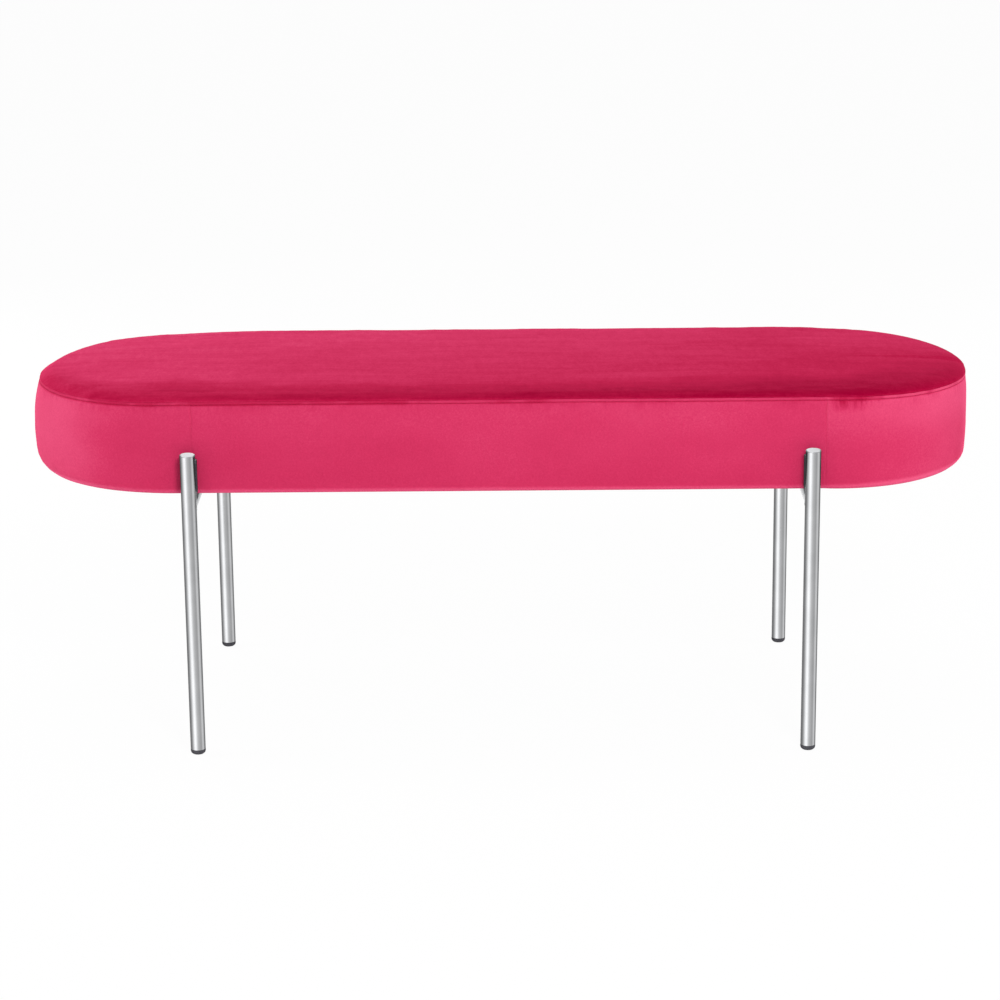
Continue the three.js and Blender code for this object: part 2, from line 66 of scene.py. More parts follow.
# Sizes of the seat, from its solids
left_low, left_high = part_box("cover_left_band")
END_RADIUS = (left_high.y - left_low.y) / 2
STRAIGHT_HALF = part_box("cover_right_band")[1].x - END_RADIUS
UNDERSIDE = left_low.z
SEAM = left_high.z
BOARD_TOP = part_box("plywood_base_board")[1].z
PAD_LOW, PAD_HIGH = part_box("front_right_leg_pad")

# The seat's shape
SHOULDER_RISE = 0.0055
SEAM_DROP = 0.0035
SEAM_DROP_POWER = 1.3
BACK_SEAM_DROP = 0.0012
DOME_RISE = 0.0014
DOME_SHARE = 1.12
TOP_DRAW = 0.003
BOTTOM_DRAW = 0.0015
WIDEST_SHARE = 0.5
LEFT_REACH = 0.0013
LEFT_LEAN = 0.0080
LEFT_HOLLOW = 1.4
TURN_UNDER = 0.031

# How far each quarter of the ends droops, and the power of its curve
LEFT_DROOP = (0.0020, 1.5)
LEFT_BACK_DROOP = (0.0025, 3)
RIGHT_DROOP = (0.0052, 2.5)
RIGHT_BACK_DROOP = (0.0038, 5)

# Sizes that differ at the ends: along the sides, then at each end with the power of its curve
SHOULDER_WIDTH = 0.028
LEFT_SHOULDER_WIDTH = (0.021, 1)
RIGHT_SHOULDER_WIDTH = (0.026, 1)
LOWER_EDGE_RADIUS = 0.005
LEFT_EDGE_RADIUS = (0.030, 1.9)
RIGHT_EDGE_RADIUS = (0.0146, 2.3)
SAG = 0.0015
LEFT_SAG = (0.0090, 2)
RIGHT_SAG = (0.0059, 0.75)

# Unevenness: waves per metre with their shares, and round the seat also the noise's row and layer
WAVE_HEIGHT = 0.0008
WAVE_SHARES = ((6, 0.9), (15, 0.5))
SEAM_WANDER = 0.0007
SEAM_WAVE_SHARES = ((7, 1, 0, 2), (55, 0.4, 4, 0))
HEM_HEIGHT = 0.0004
HEM_FADE = 0.012
HEM_WAVE_SHARES = ((30, 1, 9, 0),)

# Places along the back where the top has sunk a little: X, width and depth
DIPS = ((-0.42, 0.055, 0.0032), (0.44, 0.05, 0.0021))
DIPS_FROM_Y = 0.08
DIPS_FADE = 0.06

# Gathers along the seam, strongest just right of the front's right seam
PUCKER_HEIGHT = 0.0006
PUCKER_FADE = 0.009
PUCKER_SHARE = 0.35
PUCKER_LEVEL_SHARES = ((4, 0.35, 3, 0),)
PUCKER_WAVE_SHARES = ((130, 1, 0, 7), (260, 0.6, 5, 0))
GATHERED_PLACE = 0.836
GATHERED_WIDTH = 0.020
GATHERED_SHARE = 1.6

# Seams
TOP_TUCK = (0.0022, 0.0016)
TOP_SET_BACK = 0.0005
BAND_TUCK = (0.0012, -0.0001)
WELT_HEIGHT = 0.0040
WELT_PROUD = 0.0006
WELT_STUFFED_SHARE = 0.3
WELT_SHAPE_SHARES = ((0.05, 0.35), (0.16, 0.8), (0.34, 1.1), (0.54, 1.1), (0.76, 0.6), (0.90, -0.2))
STITCH_GROOVE = ((0.0040, 0.0006, 0.5), (0.0046, 0.0002, 0.5), (0.0056, 0, 1))
LEFT_SEAM_X = -0.380
RIGHT_SEAM_X = 0.401
UPRIGHT_SEAM_DEPTH = 0.0009
UPRIGHT_SEAM_REACH = 0.0010
UPRIGHT_SEAM_LEAST_SHARE = 0.25
STITCH_PITCH = 0.0042
STITCH_LENGTH = 0.0031
STITCH_RADIUS = 0.00028
STITCH_SINK = 0.0004
STITCH_CURVE = 0.0003
STITCH_SHARES = (-0.5, -0.38, 0, 0.38, 0.5)

# Pleats of the velvet that is turned under the ends
PLEAT_HEIGHT = 0.0008
PLEAT_PITCH = 0.017
PLEAT_SHARE = 1.6
LEAST_FLANGE = 0.012

# Where the velvet is held: near the seam, near the board, and by the pads
HELD_BY_SEAM = 0.02
HELD_BY_BOARD = 0.03
PAD_REACH = 0.012
PAD_PRESS = 0.0003
PAD_SIDE_Y = 0.15

# Filling, swollen by the cloth simulation, with corners of (inset, height) from the edge and board or seam
FILLING_INSET = 0.0055
FILLING_VOXEL = 0.006
FILLING_SWELL = 0.0028
FILLING_MIDDLE = 0.02
BOARD_GAP = 0.0004
FOOT_CORNER = ((0.008, 0), (0.002, 0.003), (0, 0.012))
HEAD_CORNER = ((0.003, -0.013), (0.007, -0.006), (0.014, -0.002))
SEAM_HOLD = 0.008
SEAM_HOLD_BELOW = 0.012
SEAM_HOLD_ABOVE = 0.001
BOARD_HOLD = 0.024
PAD_HOLD_Y = 0.18
PAD_HOLD_SHARE = 0.9
TAKEN_UP_SHARE = 0.5
PRESSURE = 4
SIMULATED_FRAMES = 20

# Mesh fineness of the velvet
STATION_STEP = 0.005
CLOSE_STATIONS = (0, 0.0004, 0.0009, 0.0016, 0.0026)
ROW_STEP = 0.004
TOP_STEP = 0.0065
SHOULDER_ANGLES = (0.05, 0.12, 0.2, 0.3, 0.42, 0.56, 0.72, 0.9, 1.08, 1.25, 1.41, pi / 2)
WALL_START = 0.0085
CORNER_ROWS = 6
FLANGE_ROWS = 7

# Leg caps, staples and welds
CAP_SIDES = 48
CAP_STEPS = 8
CAP_FOOT = ((0.0006, 0), (0.0003, 0.0001), (0, 0.0003))
CAP_ROUNDING = 0.0034
CAP_CROWN = 0.0003
CAP_CROWN_SHARES = (0.6, 0.25)
STAPLE_INSET = 0.007
STAPLE_PITCH = 0.055
STAPLE_HALF = 0.005
STAPLE_WIRE = 0.0004
STAPLE_SINK = 0.0012
STAPLE_SHARES = ((-1, 1), (-1, 0.2), (-0.85, 0), (0, 0), (0.85, 0), (1, 0.2), (1, 1))
WELD_RADIUS = 0.0013
WELD_SIDES = 8
WELD_STEPS = 48
WELD_RISE = 0.0004
WELD_RING_SHARE = 1.02
WELD_RIPPLE_SHARE = 0.05
WELD_RIPPLES = 19
SEAM_WELD_STEPS = 28
SEAM_WELD_HALF = 0.021
SEAM_WELD_SINK = 0.0011
SEAM_WELD_SHARE = 0.42
SEAM_WELD_RIPPLE_SHARE = 0.02
SEAM_WELD_RIPPLE = 2.4

WALL_BOTTOM = UNDERSIDE + LOWER_EDGE_RADIUS
WALL_TOP = SEAM - WELT_HEIGHT
WALL_ROWS = round((WALL_TOP - WALL_BOTTOM) / ROW_STEP)
DOME_STEPS = int((END_RADIUS - TOP_DRAW - SHOULDER_WIDTH) / TOP_STEP)
WIDEST = WALL_BOTTOM + (WALL_TOP - WALL_BOTTOM) * WIDEST_SHARE
STRAIGHT = 2 * STRAIGHT_HALF
ARC = pi * END_RADIUS
PERIMETER = 2 * (STRAIGHT + ARC)
UP = Vector((0, 0, 1))


# Shapes


def new_piece(name, points, faces, from_seam=None):
    """A smooth mesh object that rides with the bench."""
    mesh = bpy.data.meshes.new(name)
    mesh.from_pydata([tuple(p) for p in points], [], faces)
    if from_seam:
        mesh.attributes.new("from_seam", "FLOAT", "POINT").data.foreach_set("value", from_seam)
    mesh.validate()
    mesh.update()
    mesh.polygons.foreach_set("use_smooth", [True] * len(mesh.polygons))
    piece = bpy.data.objects.new(name, mesh)
    bpy.context.scene.collection.objects.link(piece)
    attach(piece, "root")
    return piece


def ring_faces(rings, sides, first=0):
    """Faces that join closed rings of points, each ring with as many sides."""
    faces = []
    for ring in range(rings - 1):
        for k in range(sides):
            a = first + ring * sides + k
            b = first + ring * sides + (k + 1) % sides
            faces.append((a, b, b + sides, a + sides))
    return faces


def end_faces(rings, sides, first=0):
    """The two faces that close a stack of rings."""
    last = first + (rings - 1) * sides
    return [tuple(first + k for k in reversed(range(sides))), tuple(last + k for k in range(sides))]


def spine_place(s):
    """Place on the seat's spine and outward direction, at a distance s round it from the front left."""
    s %= PERIMETER
    if s < STRAIGHT:
        return s - STRAIGHT_HALF, -pi / 2
    s -= STRAIGHT
    if s < ARC:
        return STRAIGHT_HALF, s / END_RADIUS - pi / 2
    s -= ARC
    if s < STRAIGHT:
        return STRAIGHT_HALF - s, pi / 2
    s -= STRAIGHT
    return -STRAIGHT_HALF, s / END_RADIUS + pi / 2


def outward_at(s):
    angle = spine_place(s)[1]
    return Vector((cos(angle), sin(angle), 0))


def endness(s):
    """From 0 on the straight sides to 1 at the tip of an end."""
    return abs(outward_at(s).x)


def towards_ends(s, along_sides, left, right):
    """A size at one place round the seat, from its value along the sides to its value at the end."""
    at_end, power = left if spine_place(s)[0] < 0 else right
    return along_sides + (at_end - along_sides) * endness(s) ** power


def ripple(s, wave_shares):
    """An uneven line round the seat, from rows of waves per metre, share, and the noise's row and layer."""
    total = 0
    for rate, share, row, layer in wave_shares:
        total += share * noise.noise(Vector((s * rate, row, layer)))
    return total


def seat_point(s, radius, height):
    """A point of the seat. Both ends droop, and the left one reaches out and leans in above its middle."""
    x, angle = spine_place(s)
    rise = min(1, max(0, height - WIDEST) / (SEAM - WIDEST))
    across = radius * cos(angle)
    front = angle < 0 or angle > pi
    if x < 0:
        reach = LEFT_REACH - LEFT_LEAN * rise**2
        droop, power = LEFT_DROOP if front else LEFT_BACK_DROOP
    else:
        reach = 0
        droop, power = RIGHT_DROOP if front else RIGHT_BACK_DROOP
    droop *= abs(across / END_RADIUS) ** power * max(0, height - UNDERSIDE) / (SEAM - UNDERSIDE)
    return Vector((x + across * (1 + reach / END_RADIUS), radius * sin(angle), height - droop))


def dips(point):
    """How far the top has sunk at its dips along the back."""
    sunk = sum(depth * exp(-(((point.x - x) / width) ** 2)) for x, width, depth in DIPS)
    return sunk * min(1, max(0, (point.y - DIPS_FROM_Y) / DIPS_FADE))


def seam_at(s):
    """Height of the seam round the top, which runs lower round the ends and a little lower at the back."""
    x, angle = spine_place(s)
    back = max(0, sin(angle))
    sunk = dips(Vector((x + END_RADIUS * cos(angle), END_RADIUS * sin(angle), 0)))
    wander = SEAM_WANDER * ripple(s, SEAM_WAVE_SHARES)
    round_ends = SEAM_DROP * (1 - (1 - endness(s)) ** SEAM_DROP_POWER)
    return SEAM + wander - sunk - BACK_SEAM_DROP * back - round_ends


def wall_radius(height):
    """Radius of the band's wall, widest at the middle and drawn in towards both edges."""
    share = (height - WALL_BOTTOM) / (WALL_TOP - WALL_BOTTOM)
    if share > WIDEST_SHARE:
        return END_RADIUS - TOP_DRAW * ((share - WIDEST_SHARE) / (1 - WIDEST_SHARE)) ** 2
    return END_RADIUS - BOTTOM_DRAW * (1 - max(0, share) / WIDEST_SHARE) ** 2


def soft_waves(point):
    """Slow unevenness of stuffed velvet."""
    return WAVE_HEIGHT * sum(share * noise.noise(point * rate) for rate, share in WAVE_SHARES)


def puckers(s, from_seam):
    """Small gathers that fade away from the seam."""
    gathered = GATHERED_SHARE * exp(-(((s - GATHERED_PLACE) / GATHERED_WIDTH) ** 2))
    level = PUCKER_SHARE + ripple(s, PUCKER_LEVEL_SHARES) + gathered
    return PUCKER_HEIGHT * level * ripple(s, PUCKER_WAVE_SHARES) * exp(-from_seam / PUCKER_FADE)


# Every row of the velvet is (radius, height, outward share, upward share, distance from the seam)


def top_rows(s):
    """Rows of the top panel at one place, from the seam in over the shoulder to the middle."""
    edge = END_RADIUS - TOP_DRAW + WELT_PROUD
    seam = seam_at(s)
    width = towards_ends(s, SHOULDER_WIDTH, LEFT_SHOULDER_WIDTH, RIGHT_SHOULDER_WIDTH)
    rise = SEAM + SHOULDER_RISE - seam
    hollow = LEFT_HOLLOW * endness(s) if spine_place(s)[0] < 0 else 0
    inward, down = TOP_TUCK
    rows = [(edge - inward, seam - down, 0, 0, 0), (edge - TOP_SET_BACK, seam, 0, 0, 0)]
    for angle in SHOULDER_ANGLES:
        inset = width * (1 - cos(angle))
        height = seam + rise * sin(angle) ** (1 + hollow)
        reach = sqrt(inset**2 + (height - seam) ** 2)
        rows.append((edge - inset, height, cos(angle), sin(angle), reach))
    dome_edge = edge - width
    for i in range(1, DOME_STEPS):
        share = i / DOME_STEPS
        height = SEAM + SHOULDER_RISE + DOME_RISE * sin(pi / 2 * min(1, share * DOME_SHARE))
        rows.append((dome_edge * (1 - share), height, 0, 1, width + dome_edge * share))
    return rows


def flange_rows(s, centre, corner_end, sag):
    """Rows of the velvet that is turned under the board, pleated round the ends."""
    inner = min(END_RADIUS - TURN_UNDER, centre - LEAST_FLANGE)
    fold = endness(s) * max(0, sin(2 * pi * s / PLEAT_PITCH)) ** 2
    rows = []
    for step in range(1, FLANGE_ROWS + 1):
        share = step / FLANGE_ROWS
        flat = max(0, 1 - share * 2) ** 2
        pleat = PLEAT_HEIGHT * fold * sin(pi * min(1, share * PLEAT_SHARE))
        radius = centre + (inner - centre) * share
        rows.append((radius, UNDERSIDE - sag * flat - pleat, 0, 0, corner_end + share))
    return rows


def band_rows(s):
    """Rows of the band at one place: over the welt, down the wall and round the lower edge."""
    edge = END_RADIUS - TOP_DRAW
    seam = seam_at(s)
    inward, down = BAND_TUCK
    rows = [(edge - inward, seam - down, 0, 0, 0)]
    for down, out in WELT_SHAPE_SHARES:
        drop = down * WELT_HEIGHT
        rows.append((edge + WELT_PROUD * out, seam - drop, WELT_STUFFED_SHARE * max(0, out), 0, drop))
    for drop, sink, outward in STITCH_GROOVE:
        rows.append((wall_radius(seam - drop) - sink, seam - drop, outward, 0, drop))
    sag = towards_ends(s, SAG, LEFT_SAG, RIGHT_SAG)
    corner = towards_ends(s, LOWER_EDGE_RADIUS, LEFT_EDGE_RADIUS, RIGHT_EDGE_RADIUS)
    bottom = UNDERSIDE + corner - sag
    top = seam - WALL_START
    for i in range(WALL_ROWS):
        height = top + (bottom - top) * i / (WALL_ROWS - 1)
        rows.append((wall_radius(height), height, 1, 0, seam - height))
    centre = wall_radius(bottom) - corner
    for step in range(1, CORNER_ROWS + 1):
        angle = pi / 2 * step / CORNER_ROWS
        height = bottom - corner * sin(angle)
        rows.append((centre + corner * cos(angle), height, cos(angle) ** 2, 0, seam - height))
    return rows + flange_rows(s, centre, seam - bottom + corner, sag)


def near_pad(point):
    """From 0 to 1, how closely a leg's pad holds the velvet in."""
    across = abs(abs(point.x) - (PAD_LOW.x + PAD_HIGH.x) / 2) - (PAD_HIGH.x - PAD_LOW.x) / 2
    above = point.z - PAD_HIGH.z
    return min(1, max(0, 1 - max(across, above, 0) / PAD_REACH))


def velvet_point(s, row, swell=0):
    """Where the velvet of one row lies, with its unevenness and with what holds it in."""
    radius, height, outward, upward, from_seam = row
    flat = seat_point(s, radius, height)
    away = min(1, from_seam / HELD_BY_SEAM)
    over_board = max(0, height - UNDERSIDE)
    free = max(min(1, over_board / HELD_BY_BOARD), upward)
    lift = (soft_waves(flat) + swell) * away * free + puckers(s, from_seam)
    lift -= dips(flat) * upward * away
    lift += HEM_HEIGHT * ripple(s, HEM_WAVE_SHARES) * exp(-over_board / HEM_FADE) * outward
    if not upward and abs(flat.y) > PAD_SIDE_Y:
        held = near_pad(flat)
        lift = min(lift, lift * (1 - held) - PAD_PRESS * held)
    return seat_point(s, radius + outward * lift, height + upward * lift)


def stations(start, end):
    """Distances round the seat from one upright seam to the next, closer together at the seams."""
    margin = CLOSE_STATIONS[-1]
    inner = end - start - 2 * margin
    count = max(1, round(inner / STATION_STEP))
    middle = [margin + inner * i / count for i in range(1, count)]
    spans = [*CLOSE_STATIONS, *middle, *(end - start - c for c in reversed(CLOSE_STATIONS))]
    return [start + span for span in spans]


def filling_rows(s):
    """Outline of the filling at one place, from the middle of its underside to the middle of its top."""
    base = BOARD_TOP + BOARD_GAP
    edge = END_RADIUS - FILLING_INSET
    seam = seam_at(s)
    top = SEAM + SHOULDER_RISE - FILLING_INSET
    top -= dips(seat_point(s, edge - SHOULDER_WIDTH, top))
    rows = [(FILLING_MIDDLE, base)]
    rows += [(edge - inset, base + up) for inset, up in FOOT_CORNER]
    rows.append((edge, WIDEST))
    rows += [(edge - inset, seam + up) for inset, up in HEAD_CORNER]
    rows += [(edge - SHOULDER_WIDTH, top), (FILLING_MIDDLE, top + DOME_RISE / 2)]
    return rows


def make_filling():
    """The foam in its fleece, as one closed form that the cloth simulation swells between the seams."""
    count = round(PERIMETER / FILLING_VOXEL)
    places = [PERIMETER * i / count for i in range(count)]
    outlines = [filling_rows(s) for s in places]
    depth = len(outlines[0])
    points = [seat_point(s, *rows[k]) for k in range(depth) for s, rows in zip(places, outlines)]
    faces = ring_faces(depth, count) + end_faces(depth, count)
    filling = new_piece("seat_filling", points, faces)
    remesh = filling.modifiers.new("remesh", "REMESH")
    remesh.mode = "VOXEL"
    remesh.voxel_size = FILLING_VOXEL
    filling.data = applied(filling)
    filling.modifiers.clear()
    start = [v.co.copy() for v in filling.data.vertices]
    moved = swollen(filling, start)
    capped = [capped_move(a, b) for a, b in zip(start, moved)]
    for vertex, place in zip(filling.data.vertices, capped):
        vertex.co = place
    filling.data.update()
    filling.data.polygons.foreach_set("use_smooth", [True] * len(filling.data.polygons))
    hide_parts("fleece_wadding", "foam_core", "foam_topper")
    near = kdtree.KDTree(len(start))
    for i, place in enumerate(start):
        near.insert(place, i)
    near.balance()
    return filling, near, [(b - a).length for a, b in zip(start, capped)]


def capped_move(start, end):
    """The end of a point's move, or the place on its way where it has moved as far as it may."""
    move = end - start
    if move.length < FILLING_SWELL:
        return end
    return start + move * FILLING_SWELL / move.length


def applied(piece):
    """The piece's mesh as its modifiers leave it."""
    graph = bpy.context.evaluated_depsgraph_get()
    return bpy.data.meshes.new_from_object(piece.evaluated_get(graph))


def is_held(place):
    """Whether the seam, the board or a pad holds the filling at a place."""
    radius = sqrt(max(0, abs(place.x) - STRAIGHT_HALF) ** 2 + place.y**2)
    at_edge = radius > END_RADIUS - FILLING_INSET - SEAM_HOLD
    at_seam = SEAM - SEAM_DROP - SEAM_HOLD_BELOW < place.z < SEAM + SEAM_HOLD_ABOVE
    at_board = place.z < UNDERSIDE + BOARD_HOLD
    at_pad = abs(place.y) > PAD_HOLD_Y and near_pad(place) > PAD_HOLD_SHARE
    return (at_edge and at_seam) or at_board or at_pad


def swollen(filling, start):
    """Where the cloth simulation moves the filling."""
    held = filling.vertex_groups.new(name="held")
    held.add([i for i, place in enumerate(start) if is_held(place)], 1, "REPLACE")
    cloth = filling.modifiers.new("cloth", "CLOTH")
    cloth.settings.quality = 5
    cloth.settings.mass = 0.3
    cloth.settings.use_pressure = True
    cloth.settings.uniform_pressure_force = PRESSURE
    cloth.settings.shrink_min = -0.01
    cloth.settings.effector_weights.gravity = 0
    cloth.settings.vertex_group_mass = "held"
    cloth.collision_settings.use_collision = False
    for number in range(1, SIMULATED_FRAMES + 1):
        bpy.context.scene.frame_set(number)
    moved = [v.co.copy() for v in applied(filling).vertices]
    filling.modifiers.clear()
    bpy.context.scene.frame_set(1)
    return moved


def swell_at(point):
    """How far the filling nearest to a point has swollen."""
    neighbours = 4
    blur = 0.001
    total = 0
    weights = 0
    for _, i, distance in filling_tree.find_n(point, neighbours):
        weight = 1 / (distance + blur)
        total += weight * swelling[i]
        weights += weight
    return total / weights


def swells(places, rows_at):
    """How far the filling has swollen behind each row at each place."""
    return [[swell_at(seat_point(s, row[0], row[1])) for row in rows_at(s)] for s in places]


def swell_table(places, rows_at):
    """For each place and row, how much the velvet moves where the filling has swollen more or less."""
    count = 60
    round_the_seat = swells([PERIMETER * i / count for i in range(count)], rows_at)
    averages = [sum(column) / count for column in zip(*round_the_seat)]
    table = swells(places, rows_at)
    return [[TAKEN_UP_SHARE * (value - mean) for value, mean in zip(line, averages)] for line in table]


def make_band(name, node, start, end):
    """One piece of the band, tucked in at its two upright seams."""
    places = stations(start, end)
    moves = swell_table(places, band_rows)
    points = []
    distances = []
    for s, line in zip(places, moves):
        gap = min(s - start, end - s)
        tuck = outward_at(s) * UPRIGHT_SEAM_DEPTH * exp(-((gap / UPRIGHT_SEAM_REACH) ** 2))
        for row, move in zip(band_rows(s), line):
            up = max(0, (row[1] - WALL_BOTTOM) / (WALL_TOP - WALL_BOTTOM))
            pull = UPRIGHT_SEAM_LEAST_SHARE + (1 - UPRIGHT_SEAM_LEAST_SHARE) * up
            points.append(velvet_point(s, row, move) - tuck * pull * row[2])
            distances.append(row[4])
    size = len(moves[0])
    faces = []
    for i in range(len(places) - 1):
        for k in range(size - 1):
            a = i * size + k
            faces.append((a, a + 1, a + size + 1, a + size))
    piece = new_piece(name, points, faces, distances)
    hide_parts(node)
    return piece


def make_top():
    """The top panel: rings from the seam in, closed across the middle."""
    across = round(STRAIGHT / STATION_STEP)
    round_end = round(ARC / STATION_STEP)
    places = []
    for start, length, count in (
        (0, STRAIGHT, across),
        (STRAIGHT, ARC, round_end),
        (STRAIGHT + ARC, STRAIGHT, across),
        (2 * STRAIGHT + ARC, ARC, round_end),
    ):
        places += [start + length * i / count for i in range(count)]
    moves = swell_table(places, top_rows)
    size = len(places)
    depth = len(moves[0])
    outlines = [top_rows(s) for s in places]
    columns = []
    for s, outline, line in zip(places, outlines, moves):
        columns.append([velvet_point(s, row, move) for row, move in zip(outline, line)])
    points = [columns[i][k] for k in range(depth) for i in range(size)]
    distances = [outlines[i][k][4] for k in range(depth) for i in range(size)]
    faces = ring_faces(depth, size)
    base = (depth - 1) * size
    back = 2 * across + round_end
    for i in range(across):
        faces.append((base + i, base + i + 1, base + back - i - 1, base + (back - i) % size))
    for start in (across, back):
        for k in range(1, round_end):
            faces.append((base + start, base + (start + k) % size, base + (start + k + 1) % size))
    piece = new_piece("velvet_top_panel", points, faces, distances)
    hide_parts("cover_top_panel")
    return piece


def add_strand(points, faces, path, radius, sides=6):
    """Adds a thin closed strand along a path to a mesh's points and faces, tapered at both ends."""
    tapered_share = 0.35
    steep = 0.9
    first = len(points)
    count = len(path)
    for i, place in enumerate(path):
        along = (path[min(i + 1, count - 1)] - path[max(i - 1, 0)]).normalized()
        side = along.cross(UP if abs(along.z) < steep else Vector((1, 0, 0))).normalized()
        other = along.cross(side)
        width = radius * (tapered_share if i in (0, count - 1) else 1)
        for k in range(sides):
            turn = 2 * pi * k / sides
            points.append(place + (side * cos(turn) + other * sin(turn)) * width)
    faces += ring_faces(count, sides, first) + end_faces(count, sides, first)


def make_topstitch():
    """The row of stitches below the seam, each a short thread lying in its groove."""
    count = round(PERIMETER / STITCH_PITCH)
    points = []
    faces = []
    for i in range(count):
        middle = PERIMETER * i / count
        path = []
        for share in STITCH_SHARES:
            s = middle + share * STITCH_LENGTH
            height = seam_at(s) - WELT_HEIGHT
            row = (wall_radius(height) - STITCH_SINK, height, 0, 0, WELT_HEIGHT)
            dip = outward_at(s) * STITCH_CURVE * (2 * share) ** 2
            path.append(velvet_point(s, row) - dip)
        add_strand(points, faces, path, STITCH_RADIUS)
    return new_piece("topstitch_thread", points, faces)


def cap_profile(radius, height):
    """Half outline of a leg's cap, from its foot over the rounded shoulder to its crown."""
    foot = CAP_FOOT[-1][1]
    profile = [(radius - inset, up) for inset, up in CAP_FOOT]
    for step in range(1, CAP_STEPS + 1):
        angle = pi / 2 * step / CAP_STEPS
        profile.append((radius - CAP_ROUNDING * (1 - cos(angle)), foot + (height - foot) * sin(angle)))
    for share in CAP_CROWN_SHARES:
        profile.append(((radius - CAP_ROUNDING) * share, height + CAP_CROWN * (1 - share**2)))
    return profile


def make_cap(leg):
    """The pressed cap with a softly rounded shoulder that closes the top of one leg."""
    low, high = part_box(f"{leg}_leg_cap")
    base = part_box(f"{leg}_leg")[1].z
    middle = (low + high) / 2
    profile = cap_profile((high.x - low.x) / 2, high.z - base)
    points = []
    for width, up in profile:
        for k in range(CAP_SIDES):
            turn = 2 * pi * k / CAP_SIDES
            points.append((middle.x + width * cos(turn), middle.y + width * sin(turn), base + up))
    faces = ring_faces(len(profile), CAP_SIDES) + end_faces(len(profile), CAP_SIDES)
    cap = new_piece(f"{leg}_rounded_cap", points, faces)
    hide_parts(f"{leg}_leg_cap")
    return cap


def make_staples():
    """Staples that hold the underside panel, in a row just inside its edge."""
    low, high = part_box("underside_panel")
    edge = (high.y - low.y) / 2 - STAPLE_INSET
    count = round((2 * STRAIGHT + 2 * pi * edge) / STAPLE_PITCH)
    points = []
    faces = []
    for i in range(count):
        s = PERIMETER * i / count
        middle = seat_point(s, edge, low.z - STAPLE_WIRE / 2)
        along = outward_at(s).cross(UP) * STAPLE_HALF
        sunk = UP * STAPLE_SINK
        path = [middle + along * share + sunk * depth for share, depth in STAPLE_SHARES]
        add_strand(points, faces, path, STAPLE_WIRE)
    return new_piece("panel_staples", points, faces)


def rail_weld_path(x, z, rail_radius, end, side):
    """Ring round a rail's end where it meets its leg, following the leg's round wall."""
    leg_low, leg_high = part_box("front_right_leg")
    leg_radius = (leg_high.x - leg_low.x) / 2
    low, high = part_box(f"{end}_{side}_leg")
    leg_y = (low.y + high.y) / 2
    inward = 1 if leg_y < 0 else -1
    ring = rail_radius * WELD_RING_SHARE
    path = []
    for k in range(WELD_STEPS + 1):
        turn = 2 * pi * k / WELD_STEPS
        rise = WELD_RISE * (1 + WELD_RIPPLE_SHARE * sin(turn * WELD_RIPPLES))
        across = ring * cos(turn)
        wall = sqrt(max(0, leg_radius**2 - min(abs(across), leg_radius) ** 2))
        path.append(Vector((x + across, leg_y + inward * (wall + rise), z + ring * sin(turn))))
    return path


def plate_weld_path(x, rail_radius, plate, hand):
    """Line along one side of a rail where it lies on a plate."""
    low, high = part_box(plate)
    middle = (low.y + high.y) / 2
    path = []
    for k in range(SEAM_WELD_STEPS + 1):
        y = middle - SEAM_WELD_HALF + 2 * SEAM_WELD_HALF * k / SEAM_WELD_STEPS
        wave = 1 + SEAM_WELD_RIPPLE_SHARE * sin(k * SEAM_WELD_RIPPLE)
        across = hand * rail_radius * SEAM_WELD_SHARE * wave
        path.append(Vector((x + across, y, low.z - SEAM_WELD_SINK)))
    return path


def make_welds():
    """Beads where the rails meet the legs and where the plates sit on the rails."""
    points = []
    faces = []
    plate_points = []
    plate_faces = []
    for side in ("left", "right"):
        low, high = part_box(f"{side}_cross_rail")
        x = (low.x + high.x) / 2
        rail_radius = (high.x - low.x) / 2
        for end in ("front", "back"):
            path = rail_weld_path(x, low.z + rail_radius, rail_radius, end, side)
            add_strand(points, faces, path, WELD_RADIUS, WELD_SIDES)
            for hand in (-1, 1):
                path = plate_weld_path(x, rail_radius, f"{end}_{side}_mounting_plate", hand)
                add_strand(plate_points, plate_faces, path, WELD_RADIUS, WELD_SIDES)
    leg_welds = new_piece("rail_welds", points, faces)
    plate_welds = new_piece("plate_welds", plate_points, plate_faces)
    return leg_welds, plate_welds


# Materials


